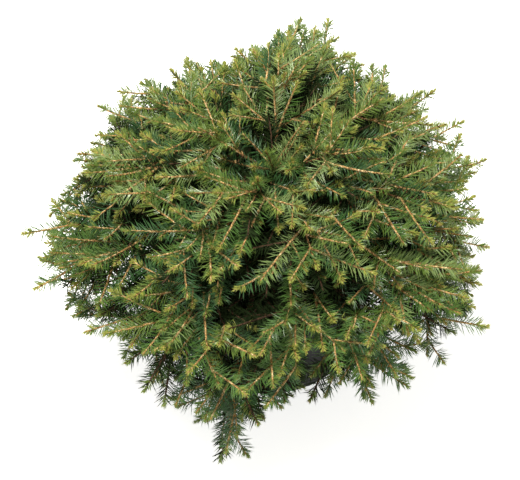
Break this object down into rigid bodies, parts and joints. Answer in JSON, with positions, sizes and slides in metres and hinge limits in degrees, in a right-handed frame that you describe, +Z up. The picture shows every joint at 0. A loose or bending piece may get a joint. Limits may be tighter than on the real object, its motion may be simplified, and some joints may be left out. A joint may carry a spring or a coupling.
{
  "type": "dwarf spruce in a nursery pot",
  "caption": "Low, wide mound of needle-leaved evergreen boughs on a short trunk, standing in a round black nursery pot.",
  "frame": {"origin": "centre of the pot's flat underside", "axes": "+Z up along the pot's axis; -Y is the side with the hanging bough and the notch beside it; +X to the right of it"},
  "size_m": [0.3865, 0.3919, 0.2818],
  "materials": {
    "pot": "satin",
    "soil": "matte",
    "bark": "matte",
    "young_bark": "matte",
    "needles": "satin"
  },
  "bodies": {
    "root": {"pot": "pot", "soil": "soil", "trunk": "bark", "bough_low_1": "young_bark", "bough_low_2": "young_bark", "bough_low_3": "young_bark", "bough_low_4": "young_bark", "bough_low_5": "young_bark", "bough_low_6": "young_bark", "bough_low_7": "young_bark", "bough_low_8": "young_bark", "bough_low_9": "young_bark", "bough_middle_1": "young_bark", "bough_middle_2": "young_bark", "bough_middle_3": "young_bark", "bough_middle_4": "young_bark", "bough_middle_5": "young_bark", "bough_middle_6": "young_bark", "bough_middle_7": "young_bark", "bough_middle_8": "young_bark", "bough_middle_9": "young_bark", "bough_upper_1": "young_bark", "bough_upper_2": "young_bark", "bough_upper_3": "young_bark", "bough_upper_4": "young_bark", "bough_upper_5": "young_bark", "bough_upper_6": "young_bark", "bough_upper_7": "young_bark", "foliage_low_1": "needles", "foliage_low_2": "needles", "foliage_low_3": "needles", "foliage_low_4": "needles", "foliage_low_5": "needles", "foliage_low_6": "needles", "foliage_low_7": "needles", "foliage_low_8": "needles", "foliage_low_9": "needles", "foliage_middle_1": "needles", "foliage_middle_2": "needles", "foliage_middle_3": "needles", "foliage_middle_4": "needles", "foliage_middle_5": "needles", "foliage_middle_6": "needles", "foliage_middle_7": "needles", "foliage_middle_8": "needles", "foliage_middle_9": "needles", "foliage_upper_1": "needles", "foliage_upper_2": "needles", "foliage_upper_3": "needles", "foliage_upper_4": "needles", "foliage_upper_5": "needles", "foliage_upper_6": "needles", "foliage_upper_7": "needles", "foliage_top_1": "needles", "foliage_top_2": "needles", "foliage_top_3": "needles", "foliage_top_4": "needles"}
  },
  "joints": []
}
